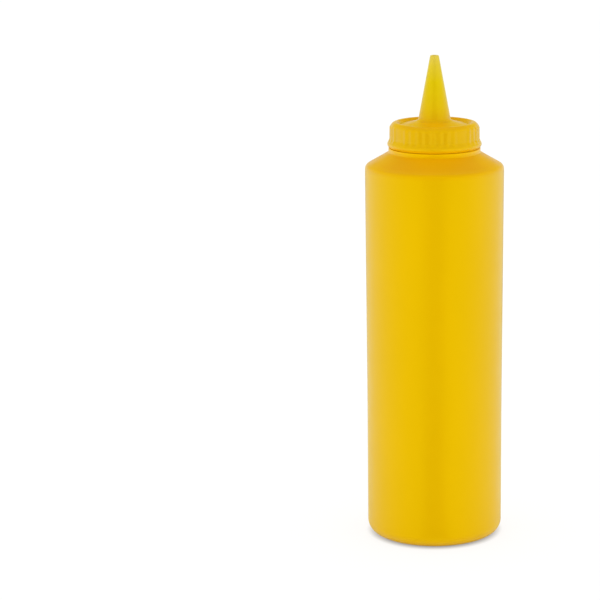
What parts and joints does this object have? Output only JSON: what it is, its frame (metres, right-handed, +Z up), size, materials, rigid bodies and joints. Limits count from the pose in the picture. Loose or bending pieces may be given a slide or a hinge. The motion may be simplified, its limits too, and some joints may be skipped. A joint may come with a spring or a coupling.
{
  "type": "condiment squeeze bottle",
  "caption": "Tall round yellow squeeze bottle with a conical shoulder and a ribbed screw cap whose long pouring cone squirts sauce from a small hole at its tip.",
  "frame": {"origin": "middle of the standing ring, at the bottom of the bottle", "axes": "+Z up along the axis of the bottle, towards the tip of the pouring cone; -Y is the front as pictured"},
  "size_m": [0.0726, 0.0726, 0.2564],
  "materials": {
    "bottle_plastic": "soft blow-moulded polyethylene, satin gloss, dyed yellow through",
    "cap_plastic": "injection-moulded polyethylene, satin gloss, dyed yellow through"
  },
  "bodies": {
    "root": {"bottle": "bottle_plastic", "cap": "cap_plastic"}
  },
  "joints": []
}
